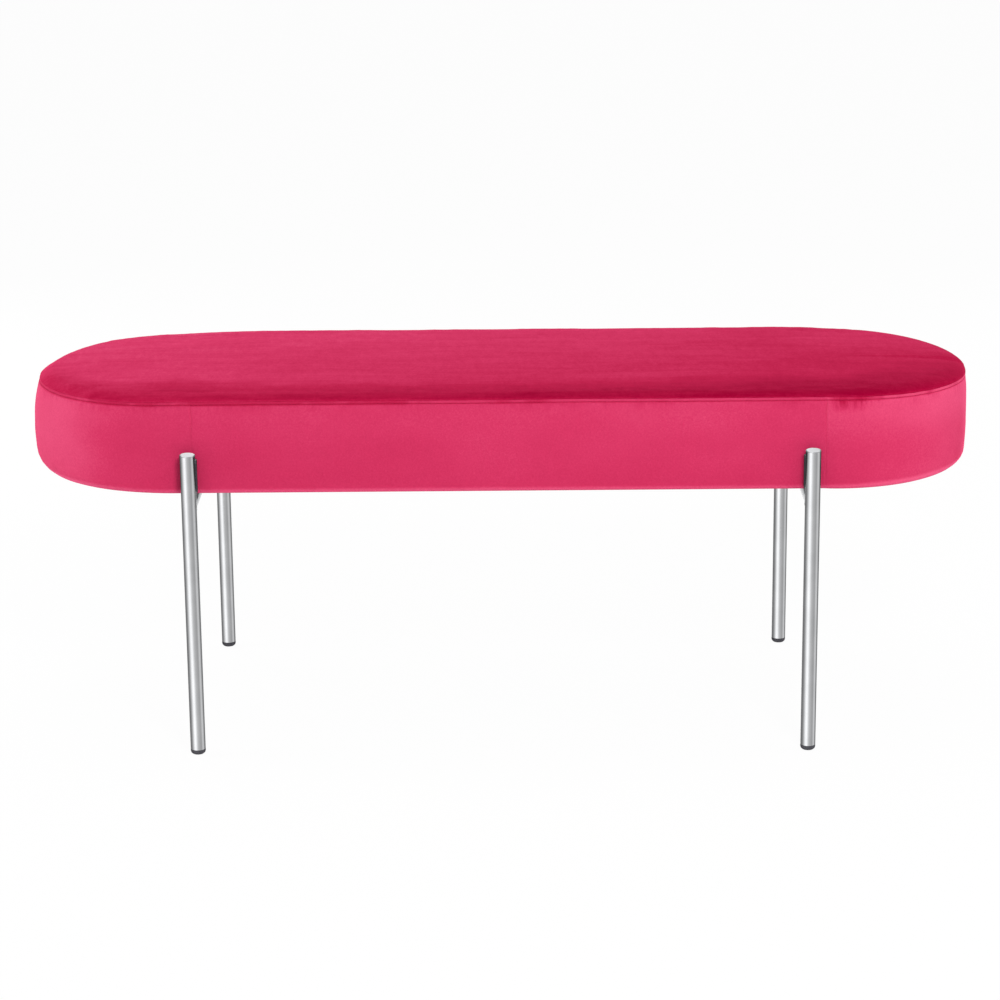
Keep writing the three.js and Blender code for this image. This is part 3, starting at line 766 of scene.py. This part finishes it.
class Shader:
    """A node material, or the world's nodes, built up by short calls."""

    def __init__(self, name, holder=None):
        self.holder = holder or bpy.data.materials.new(name)
        self.holder.use_nodes = True
        self.tree = self.holder.node_tree
        self.surface = self.tree.nodes.get("Principled BSDF")
        self.place = self.tree.nodes.new("ShaderNodeTexCoord").outputs["Object"]

    def node(self, kind, values=(), **settings):
        made = self.tree.nodes.new(kind)
        for key, value in settings.items():
            setattr(made, key, value)
        for socket, value in dict(values).items():
            if isinstance(value, bpy.types.NodeSocket):
                self.tree.links.new(value, made.inputs[socket])
            else:
                made.inputs[socket].default_value = value
        return made

    def split(self, vector):
        return self.node("ShaderNodeSeparateXYZ", {0: vector}).outputs

    def noise(self, scale, detail=2, stretch=(1, 1, 1), roughness=0.5, distortion=0):
        moved = self.node("ShaderNodeMapping", {"Vector": self.place, "Scale": stretch})
        values = {"Vector": moved.outputs["Vector"], "Scale": scale, "Detail": detail}
        values |= {"Roughness": roughness, "Distortion": distortion}
        return self.node("ShaderNodeTexNoise", values).outputs["Fac"]

    def ramp(self, fac, stops, smooth=True):
        made = self.node("ShaderNodeValToRGB", {"Fac": fac})
        ramp = made.color_ramp
        ramp.interpolation = "EASE" if smooth else "LINEAR"
        while len(ramp.elements) < len(stops):
            ramp.elements.new(0.5)
        for element, (place, colour) in zip(ramp.elements, stops):
            element.position = place
            levels = linear(colour) if isinstance(colour, str) else colour
            element.color = (*levels, 1)
        return made.outputs["Color"]

    def span(self, value, low, high, to_low=0, to_high=1, kind="SMOOTHSTEP"):
        values = {"Value": value, "From Min": low, "From Max": high, "To Min": to_low, "To Max": to_high}
        return self.node("ShaderNodeMapRange", values, interpolation_type=kind).outputs["Result"]

    def attribute(self, name):
        return self.node("ShaderNodeAttribute", attribute_name=name).outputs["Fac"]

    def math(self, operation, a, b=0.0, clamp=False):
        made = self.node("ShaderNodeMath", {0: a, 1: b}, operation=operation, use_clamp=clamp)
        return made.outputs["Value"]

    def product(self, first, *others):
        for other in others:
            first = self.math("MULTIPLY", first, other)
        return first

    def total(self, first, *others):
        for other in others:
            first = self.math("ADD", first, other)
        return first

    def around(self, middle, noise, width):
        """A noise's values, spread to a width round a middle value."""
        return self.math("ADD", middle, self.product(self.math("SUBTRACT", noise, 0.5), width))

    def uneven(self, value, layers):
        """Adds noises to a value, from rows of the width of each and what it is made with."""
        return self.total(value, *(self.around(0, self.noise(*row), width) for width, *row in layers))

    def spans(self, rows, kind="SMOOTHSTEP"):
        """A span for each row of a guide's name, two values of the guide and the span's values there."""
        return [self.span(self.guides[guide], *ends, kind=kind) for guide, *ends in rows]

    def patch(self, rows):
        """The rows' spans, multiplied."""
        return self.product(*self.spans(rows))

    def mix(self, fac, a, b):
        a, b = (part if isinstance(part, bpy.types.NodeSocket) else (*part, 1) for part in (a, b))
        return self.node("ShaderNodeMix", {0: fac, 6: a, 7: b}, data_type="RGBA").outputs[2]

    def bump(self, height, strength, distance):
        values = {"Height": height, "Strength": strength, "Distance": distance}
        return self.node("ShaderNodeBump", values).outputs["Normal"]

    def set(self, **values):
        for key, value in values.items():
            socket = self.surface.inputs[key.replace("_", " ")]
            if isinstance(value, bpy.types.NodeSocket):
                self.tree.links.new(value, socket)
            else:
                socket.default_value = value
        return self.holder


# Between these lie most of a noise's values
NOISE_SPAN = (0.3, 0.7)


def linear(code):
    """A colour written as six hexadecimal digits, in Blender's linear values."""
    values = []
    for i in (0, 2, 4):
        v = int(code[i : i + 2], 16) / 255
        values.append(v / 12.92 if v <= 0.04045 else ((v + 0.055) / 1.055) ** 2.4)
    return tuple(values)


# The velvet's colours by its tone, which holds its nap and painted light and shade, its pile and its sheen
TONE_COLOURS = ((0, "9c0030"), (0.33, "ba1945"), (0.66, "d43662"), (1, "f05c86"))
SHEEN_TINT = (1, 0.09, 0.25, 1)
PILE_WIDTH = 0.20
PILE_BUMP = 0.0005

# The top's tone. Rows of noise are (width, scale, detail, stretch, roughness, distortion). Other rows are
# spans, as (guide, two values of it, what is given there), where the guide is a place, distance or noise
TOP_TONE = 0.585
TOP_GRAIN = 0.34
TOP_NOISES = (
    (0.20, 1, 4, (9, 70, 70), 0.5, 1.2),
    (0.22, 1, 3, (3.5, 20, 20), 0.5, 0.8),
    (0.26, 5, 3, (0.8, 1.6, 1), 0.55),
    (0.24, 1, 3, (110, 42, 110), 0.7),
)
# Painted light on the top: paler towards the back left, darker towards the front right
TOP_PAINTED_LIGHT = (("X", -0.5, 0.6, 0.06, -0.22), ("Y", -0.06, 0.20, -0.04, 0.13))

# Its painted shade over the front shoulder, which follows the distance from the seam, made ragged, narrowed
# at the left tip and widened at the front left and towards the right
REACH_NOISES = ((0.055, 1, 4, (12, 45, 45), 0.6, 0.6),)
REACHES = (("X", -0.58, -0.40, 0.030, -0.006), ("X", 0.05, 0.30, 0, -0.012))
# Widens the painted shade at the front left
SHADE_WIDENED_FRONT_LEFT = (("X", -0.47, -0.41), ("X", -0.33, -0.39, 0, -0.026))
DEEP_SHADE = (("reach", 0.006, 0.040, 1, 0), ("seam", 0.0008, 0.0030), ("patches", 0.35, 0.65, 0.04, 0.17))
SOFT_SHADE = (("reach", 0.034, 0.080, 0.22, 0),)
SHADED = (("Y", -0.10, 0.03, 1, 0), ("X", 0.44, 0.54, 1, 0.45))
RIGHT_SHADE = (("X", 0.10, 0.45), ("Y", 0.10, -0.04), ("reach", 0.060, 0.130, 0.04, 0.02))

# The band's tone: painted light paler upwards and round both ends, a painted highlight along the lower
# edge, painted sheen at both tips; paler right of the front's right seam
BAND_TONE = 0.625
BAND_GRAIN = 0.22
BAND_NOISES = ((0.24, 9, 3, (0.6, 1, 1.3), 0.55),)
BAND_PAINTED_LIGHT = (
    ("Z", 0.34, 0.44, -0.02, 0.04),
    ("Z", 0.3425, 0.3370, 0, 0.26),
    ("X", 0.405, 0.56, 0, 0.11),
    ("X", -0.60, -0.45, 0.20, 0),
    ("X", -0.602, -0.592, 0.14, 0),
    ("X", 0.582, 0.602, 0, 0.18),
)
TURNED_NAP = (("X", 0.4005, 0.4015), ("Z", 0.385, 0.425, 0, 0.07))

# Under the seam: a darker ridge, painted shade along the stitched line, painted shade below it in ragged
# strokes, and painted shade of the gathers
UNEVEN_RIDGE = (("X", -0.20, 0.10, -0.12, 0.08),)
RIDGE = (("seam", 0.007, 0.004), ("patches", 0.35, 0.60, 0.26, 0.02))
STITCH_LINE_SHADE = (("seam", 0.0030, 0.0037), ("seam", 0.0053, 0.0045), ("patches", 0.3, 0.7, 0.12, 0.24))
SHADE_UNDER_SEAM = (("ragged", 0.20, 0.36, 0, 0.08), ("seam", 0.004, 0.006), ("seam", 0.018, 0.007))
GATHERED = (("X", 0.402, 0.414), ("X", 0.462, 0.436), ("Y", -0.10, -0.15))
GATHER_SHADE_BELOW = (("seam", 0.022, 0.004), ("strokes", 0.38, 0.64, 0.16, 0.38))
GATHER_SHADE_ON_RIDGE = (("seam", 0.010, 0.004, 0, 0.26),)


def velvet(name, sheen, sheen_roughness, gloss):
    """Crushed velvet. Returns its look with the grain of the pile, before its colour is set."""
    look = Shader(name)
    place = look.split(look.place)
    look.guides = {axis: place[axis] for axis in "XYZ"}
    look.guides["seam"] = look.attribute("from_seam")
    look.pile = look.noise(1400, 2)
    look.tufts = look.noise(420, 3, roughness=0.65)
    look.set(Roughness=0.95, Specular_IOR_Level=gloss, Sheen_Weight=sheen)
    look.set(Sheen_Roughness=sheen_roughness, Sheen_Tint=SHEEN_TINT)
    return look


def with_tone(look, tone, grain_width):
    """Sets the velvet's colour from its tone, 0 dark to 1 light, which holds its nap and its painted light
    and shade, with the grain added.
    """
    tone = look.math("ADD", tone, look.around(0, look.tufts, grain_width))
    tone = look.math("ADD", tone, look.around(0, look.pile, PILE_WIDTH), clamp=True)
    colour = look.ramp(tone, TONE_COLOURS, smooth=False)
    height = look.math("ADD", look.pile, look.tufts)
    return look.set(Base_Color=colour, Normal=look.bump(height, 0.25, PILE_BUMP))


def top_velvet():
    """The top's velvet: nap brushed along the seat, painted light paler at the back left, painted shade
    over the front shoulder and towards the front right.
    """
    look = velvet("velvet_top", sheen=0.30, sheen_roughness=0.3, gloss=0.02)
    # Painted light: paler towards the back left, darker towards the front right
    tone = look.total(look.uneven(TOP_TONE, TOP_NOISES), *look.spans(TOP_PAINTED_LIGHT, "LINEAR"))
    reach = look.total(look.uneven(look.guides["seam"], REACH_NOISES), *look.spans(REACHES))
    look.guides["reach"] = look.total(reach, look.patch(SHADE_WIDENED_FRONT_LEFT))
    look.guides["patches"] = look.noise(1, 4, stretch=(14, 60, 60), roughness=0.7)
    # Painted shade over the front shoulder and towards the front right
    shade = look.total(look.patch(SOFT_SHADE), look.patch(DEEP_SHADE))
    shade = look.total(look.product(shade, look.patch(SHADED)), look.patch(RIGHT_SHADE))
    return with_tone(look, look.math("SUBTRACT", tone, shade), TOP_GRAIN)


def seam_shade(look):
    """Painted shade under the seam in ragged strokes, and painted shade of the gathers right of the front's
    right seam.
    """
    strokes = look.noise(1, 3, stretch=(210, 210, 26), roughness=0.62)
    look.guides["strokes"] = strokes
    look.guides["ragged"] = look.product(strokes, look.noise(1, 3, stretch=(22, 22, 50), roughness=0.6))
    gather_shade = look.math("MAXIMUM", look.patch(GATHER_SHADE_BELOW), look.patch(GATHER_SHADE_ON_RIDGE))
    return look.total(look.patch(SHADE_UNDER_SEAM), look.product(look.patch(GATHERED), gather_shade))


def band_velvet():
    """The band's velvet: an even pile with soft wide patches, painted light paler upwards and round both
    ends, a painted highlight along the lower edge, and painted shade under the seam.
    """
    look = velvet("velvet_band", sheen=0.55, sheen_roughness=0.2, gloss=0.08)
    # Painted light: paler upwards and round both ends, a painted highlight along the lower edge and painted
    # sheen at the tips
    tone = look.total(look.uneven(BAND_TONE, BAND_NOISES), *look.spans(BAND_PAINTED_LIGHT), look.patch(TURNED_NAP))
    patches = look.noise(1, 2, stretch=(26, 26, 26))
    look.guides["patches"] = look.total(patches, *look.spans(UNEVEN_RIDGE))
    # A darker ridge, then painted shade along the stitched line, under the seam and at the gathers
    shade = look.total(look.patch(RIDGE), look.patch(STITCH_LINE_SHADE), seam_shade(look))
    return with_tone(look, look.math("SUBTRACT", tone, shade), BAND_GRAIN)


def thread_material():
    look = Shader("thread")
    twist = look.noise(2500, 1)
    colour = look.ramp(twist, ((0.3, "9c1038"), (0.7, "bc2650")))
    return look.set(Base_Color=colour, Roughness=0.7, Specular_IOR_Level=0.2)


def chrome_material():
    """Plated tube: fine polishing lines round the tube and faint clouding."""
    look = Shader("chrome")
    cloud = look.noise(30, 3)
    lines = look.noise(1, 2, stretch=(60, 60, 3000))
    colour = look.ramp(cloud, ((0.3, "eaebec"), (0.7, "f3f4f5")))
    roughness = look.span(look.math("ADD", cloud, lines), 0.6, 1.4, 0.10, 0.17, "LINEAR")
    normal = look.bump(lines, 0.02, 0.0001)
    return look.set(Base_Color=colour, Metallic=1.0, Roughness=roughness, Normal=normal)


def plastic_material():
    """Moulded dark plastic: fine spark texture, slightly paler where it is rubbed."""
    look = Shader("dark_plastic")
    grain = look.noise(2200, 3)
    cloud = look.noise(60, 2)
    colour = look.ramp(cloud, ((0.35, "3b3a40"), (0.65, "4a4950")))
    roughness = look.span(grain, *NOISE_SPAN, 0.42, 0.6)
    return look.set(Base_Color=colour, Roughness=roughness, Normal=look.bump(grain, 0.2, 0.0002))


def steel_material():
    """Black powder coat with its orange-peel skin."""
    look = Shader("black_steel")
    peel = look.noise(900, 2)
    colour = look.ramp(peel, ((0.3, "222326"), (0.7, "2c2d30")))
    roughness = look.span(peel, *NOISE_SPAN, 0.38, 0.5)
    look.set(Metallic=0.2, Normal=look.bump(peel, 0.3, 0.0002))
    return look.set(Base_Color=colour, Roughness=roughness)


def zinc_material():
    look = Shader("zinc")
    spangle = look.noise(350, 4)
    colour = look.ramp(spangle, ((0.3, "8f9398"), (0.7, "b4b7ba")))
    return look.set(Base_Color=colour, Metallic=1.0, Roughness=look.span(spangle, *NOISE_SPAN, 0.25, 0.42))


def plywood_material():
    """Pale veneer grain along the seat, with the plies showing on the edge."""
    look = Shader("plywood")
    grain = look.noise(1, 5, stretch=(6, 160, 40), roughness=0.6, distortion=0.6)
    colour = look.ramp(grain, ((0.3, "b88f5c"), (0.5, "caa877"), (0.7, "d9bb8e")))
    wave = {"Vector": look.place, "Scale": 140, "Distortion": 0.3}
    plies = look.node("ShaderNodeTexWave", wave, wave_type="BANDS", bands_direction="Z").outputs["Fac"]
    glue_lines = look.span(plies, *NOISE_SPAN, 0, 0.45)
    colour = look.mix(glue_lines, colour, linear("7c5a34"))
    return look.set(Base_Color=colour, Roughness=0.75, Normal=look.bump(grain, 0.2, 0.0004))


def panel_material():
    """Black fibreboard: pressed fibres and a faint sheen."""
    look = Shader("black_panel")
    fibres = look.noise(1, 4, stretch=(220, 520, 400), roughness=0.7, distortion=1.2)
    colour = look.ramp(fibres, ((0.35, "141416"), (0.7, "2a2a2d")))
    roughness = look.span(fibres, *NOISE_SPAN, 0.7, 0.9)
    return look.set(Base_Color=colour, Roughness=roughness, Normal=look.bump(fibres, 0.4, 0.0004))


def foam_material():
    look = Shader("foam")
    cells = look.node("ShaderNodeTexVoronoi", {"Vector": look.place, "Scale": 700}).outputs["Distance"]
    colour = look.ramp(cells, ((0.1, "c9bd86"), (0.6, "eee4b6")))
    return look.set(Base_Color=colour, Roughness=0.95, Normal=look.bump(cells, 0.5, 0.0008))


def fleece_material():
    look = Shader("fleece")
    fibres = look.noise(1, 5, stretch=(300, 500, 400), roughness=0.75, distortion=2)
    colour = look.ramp(fibres, ((0.3, "dcdad5"), (0.7, "f7f6f3")))
    look.set(Base_Color=colour, Normal=look.bump(fibres, 0.6, 0.002))
    return look.set(Roughness=1.0, Sheen_Weight=0.3)


# The studio

# The camera fitted to the photograph, in pixels of its frame and in radians
FRAME_PIXELS = 1000
FOCAL_PIXELS = 3004.58
YAW, PITCH, ROLL = -0.0053617, 0.2728357, 0.0091758
CAMERA_PLACE = Vector((0.018348, -3.777548, 1.325353))
SENSOR_WIDTH = 36

# Lamps: name, place, aim, size and watts
LAMPS = (
    ("key", (0.8, -3.0, 2.4), (0, 0, 0.4), (0.8, 0.6), 62),
    ("left_side", (-2.8, 0.1, 1.1), (0, 0, 0.3), (1.2, 1.2), 26),
    ("right_side", (2.8, 0.1, 1.1), (0, 0, 0.3), (1.2, 1.2), 14),
    ("left_rim", (-1.9, 2.2, 0.9), (-0.6, 0, 0.4), (0.8, 0.8), 18),
    ("right_rim", (1.9, 2.2, 0.9), (0.6, 0, 0.4), (0.8, 0.8), 12),
    ("overhead", (0, 0.4, 3.0), (0, 0, 0.4), (2, 1), 8),
)

# What polished metal sees: brightness by degrees from the front, and a ceiling from one height to another
PANELS = (
    (-180, 0.95), (-170, 0.80), (-154, 0.20), (-140, 0.16), (-115, 0.20), (-95, 0.30), (-75, 0.56),
    (-57, 0.94), (-42, 1.15), (-28, 1.12), (-12, 0.80), (0, 0.60), (12, 0.51), (25, 0.46), (42, 0.40),
    (56, 0.38), (68, 0.52), (80, 0.66), (95, 0.60), (108, 0.38), (122, 0.20), (150, 0.16), (166, 0.60),
    (180, 0.95),
)
PANEL_BLUE = 1.01
CEILING_FROM, CEILING_TO = 0.28, 0.55
CEILING = (0.85, 0.85, 0.86)
EVEN_LIGHT = (0.45, 0.45, 0.45)
WHITE = (1, 1, 1)

# The floor
FLOOR_HALF = 18
FLOOR_COLOUR = (0.95, 0.95, 0.95, 1)
FLOOR_WHITE_SHARE = 0.96


def aim_camera():
    forward = Vector((sin(YAW) * cos(PITCH), cos(YAW) * cos(PITCH), -sin(PITCH)))
    level = Vector((cos(YAW), -sin(YAW), 0))
    down = forward.cross(level)
    across = level * cos(ROLL) + down * sin(ROLL)
    below = down * cos(ROLL) - level * sin(ROLL)
    camera = bpy.data.cameras.new("camera")
    camera.sensor_fit = "HORIZONTAL"
    camera.sensor_width = SENSOR_WIDTH
    camera.lens = SENSOR_WIDTH * FOCAL_PIXELS / FRAME_PIXELS
    camera.clip_start = 0.05
    camera.clip_end = 100
    held = bpy.data.objects.new("camera", camera)
    turn = Matrix((across, -below, -forward)).transposed()
    held.matrix_world = Matrix.Translation(CAMERA_PLACE) @ turn.to_4x4()
    bpy.context.scene.collection.objects.link(held)
    bpy.context.scene.camera = held


def add_lamp(name, place, aim, size, watts):
    lamp = bpy.data.lights.new(name, "AREA")
    lamp.shape = "RECTANGLE"
    lamp.size, lamp.size_y = size
    lamp.energy = watts
    held = bpy.data.objects.new(name, lamp)
    held.location = place
    held.rotation_euler = (Vector(aim) - Vector(place)).to_track_quat("-Z", "Y").to_euler()
    held.visible_glossy = False
    bpy.context.scene.collection.objects.link(held)


def build_world():
    """White to the camera, even to the velvet, and a studio of light and grey panels to polished metal."""
    studio = Shader("studio", bpy.data.worlds.new("studio"))
    direction = studio.split(studio.node("ShaderNodeTexCoord").outputs["Generated"])
    azimuth = studio.math("ARCTAN2", direction["X"], studio.product(direction["Y"], -1))
    stops = [((degrees + 180) / 360, (level, level, level * PANEL_BLUE)) for degrees, level in PANELS]
    panels = studio.ramp(studio.span(azimuth, -pi, pi, kind="LINEAR"), stops, smooth=False)
    overhead = studio.span(direction["Z"], CEILING_FROM, CEILING_TO, kind="LINEAR")
    path = studio.node("ShaderNodeLightPath").outputs
    metal = studio.mix(path["Is Glossy Ray"], EVEN_LIGHT, studio.mix(overhead, panels, CEILING))
    background = studio.tree.nodes["Background"].inputs
    studio.tree.links.new(studio.mix(path["Is Camera Ray"], metal, WHITE), background["Color"])
    background["Strength"].default_value = 1
    bpy.context.scene.world = studio.holder


def build_floor():
    """A white floor that keeps a soft shadow."""
    corners = [(FLOOR_HALF * x, FLOOR_HALF * y, 0) for x, y in ((-1, -1), (1, -1), (1, 1), (-1, 1))]
    mesh = bpy.data.meshes.new("floor")
    mesh.from_pydata(corners, [], [(0, 1, 2, 3)])
    floor = bpy.data.objects.new("floor", mesh)
    bpy.context.scene.collection.objects.link(floor)
    floor.visible_glossy = False
    look = Shader("floor")
    look.set(Base_Color=FLOOR_COLOUR, Roughness=1, Specular_IOR_Level=0)
    white = look.node("ShaderNodeEmission", {"Color": (*WHITE, 1)})
    part = look.product(look.node("ShaderNodeLightPath").outputs["Is Camera Ray"], FLOOR_WHITE_SHARE)
    mixed = look.node("ShaderNodeMixShader", {0: part, 1: look.surface.outputs[0], 2: white.outputs[0]})
    look.tree.links.new(mixed.outputs[0], look.tree.nodes["Material Output"].inputs["Surface"])
    mesh.materials.append(look.holder)


# The finish of the CAD nodes that stay

JOINED_WITHIN = 0.00001
BEVEL_ANGLE = 0.6
BEVEL_SEGMENTS = 2
NORMAL_WEIGHT = 80
BEVELS = {"_leg": 0.0003, "_bolt": 0.0003, "_mounting_plate": 0.0005, "_washer": 0.0002, "_glide": 0.0004}
HARD_SLOTS = ("chrome", "dark_plastic", "black_steel", "zinc", "black_panel")


def joined_facets():
    """A node group that joins a CAD mesh's facets and shades them smooth."""
    group = bpy.data.node_groups.new("joined_facets", "GeometryNodeTree")
    group.interface.new_socket("Geometry", in_out="INPUT", socket_type="NodeSocketGeometry")
    group.interface.new_socket("Geometry", in_out="OUTPUT", socket_type="NodeSocketGeometry")
    start = group.nodes.new("NodeGroupInput")
    bare = group.nodes.new("GeometryNodeRemoveAttribute")
    bare.inputs["Name"].default_value = "custom_normal"
    joined = group.nodes.new("GeometryNodeMergeByDistance")
    joined.inputs["Distance"].default_value = JOINED_WITHIN
    smooth = group.nodes.new("GeometryNodeSetShadeSmooth")
    smooth.domain = "FACE"
    end = group.nodes.new("NodeGroupOutput")
    for a, b in ((start, bare), (bare, joined), (joined, smooth), (smooth, end)):
        group.links.new(a.outputs[0], b.inputs[0])
    return group


def finer_finish(node, group, bevel):
    """Smooth shading with sharp edges kept, and a small bevel on them, without touching the CAD mesh."""
    node.modifiers.new("joined_facets", "NODES").node_group = group
    if bevel:
        edge = node.modifiers.new("bevel", "BEVEL")
        edge.width = bevel
        edge.segments = BEVEL_SEGMENTS
        edge.limit_method = "ANGLE"
        edge.angle_limit = BEVEL_ANGLE
    node.modifiers.new("normals", "WEIGHTED_NORMAL").weight = NORMAL_WEIGHT


def dress_nodes():
    """Gives each CAD node that stays its finish."""
    materials = {
        "chrome": chrome_material(),
        "dark_plastic": plastic_material(),
        "black_steel": steel_material(),
        "zinc": zinc_material(),
        "plywood": plywood_material(),
        "black_panel": panel_material(),
        "foam": foam_material(),
        "fleece": fleece_material(),
        "velvet": band_velvet(),
    }
    slots = {row["node"]: row["material_slot"] for row in frame["record"]["subparts"]}
    group = joined_facets()
    for name, node in nodes.items():
        for place in node.material_slots:
            place.material = materials[slots[name]]
        if slots[name] in HARD_SLOTS:
            bevel = next((size for end, size in BEVELS.items() if name.endswith(end)), 0)
            finer_finish(node, group, bevel)
    return materials


# The bench

materials = dress_nodes()

left_s = LEFT_SEAM_X + STRAIGHT_HALF
right_s = STRAIGHT + (RIGHT_SEAM_X - STRAIGHT_HALF)
back_right_s = STRAIGHT + ARC - (RIGHT_SEAM_X - STRAIGHT_HALF)
back_left_s = 2 * STRAIGHT + ARC - left_s

filling, filling_tree, swelling = make_filling()
filling.data.materials.append(materials["fleece"])
top = make_top()
top.data.materials.append(top_velvet())
seat = [filling, top, nodes["plywood_base_board"]]
for side, start, end in (
    ("front", left_s, right_s),
    ("right", right_s, back_right_s),
    ("back", back_right_s, back_left_s),
    ("left", back_left_s, PERIMETER + left_s),
):
    band = make_band(f"velvet_{side}_band", f"cover_{side}_band", start, end)
    band.data.materials.append(materials["velvet"])
    seat.append(band)
for piece in seat:
    piece.visible_glossy = False
make_topstitch().data.materials.append(thread_material())
make_staples().data.materials.append(materials["zinc"])
for leg in ("front_left", "front_right", "back_left", "back_right"):
    make_cap(leg).data.materials.append(materials["chrome"])
leg_welds, plate_welds = make_welds()
leg_welds.data.materials.append(materials["chrome"])
plate_welds.data.materials.append(materials["black_steel"])

build_world()
build_floor()
aim_camera()
for lamp in LAMPS:
    add_lamp(*lamp)

bpy.context.scene.view_settings.view_transform = "Standard"
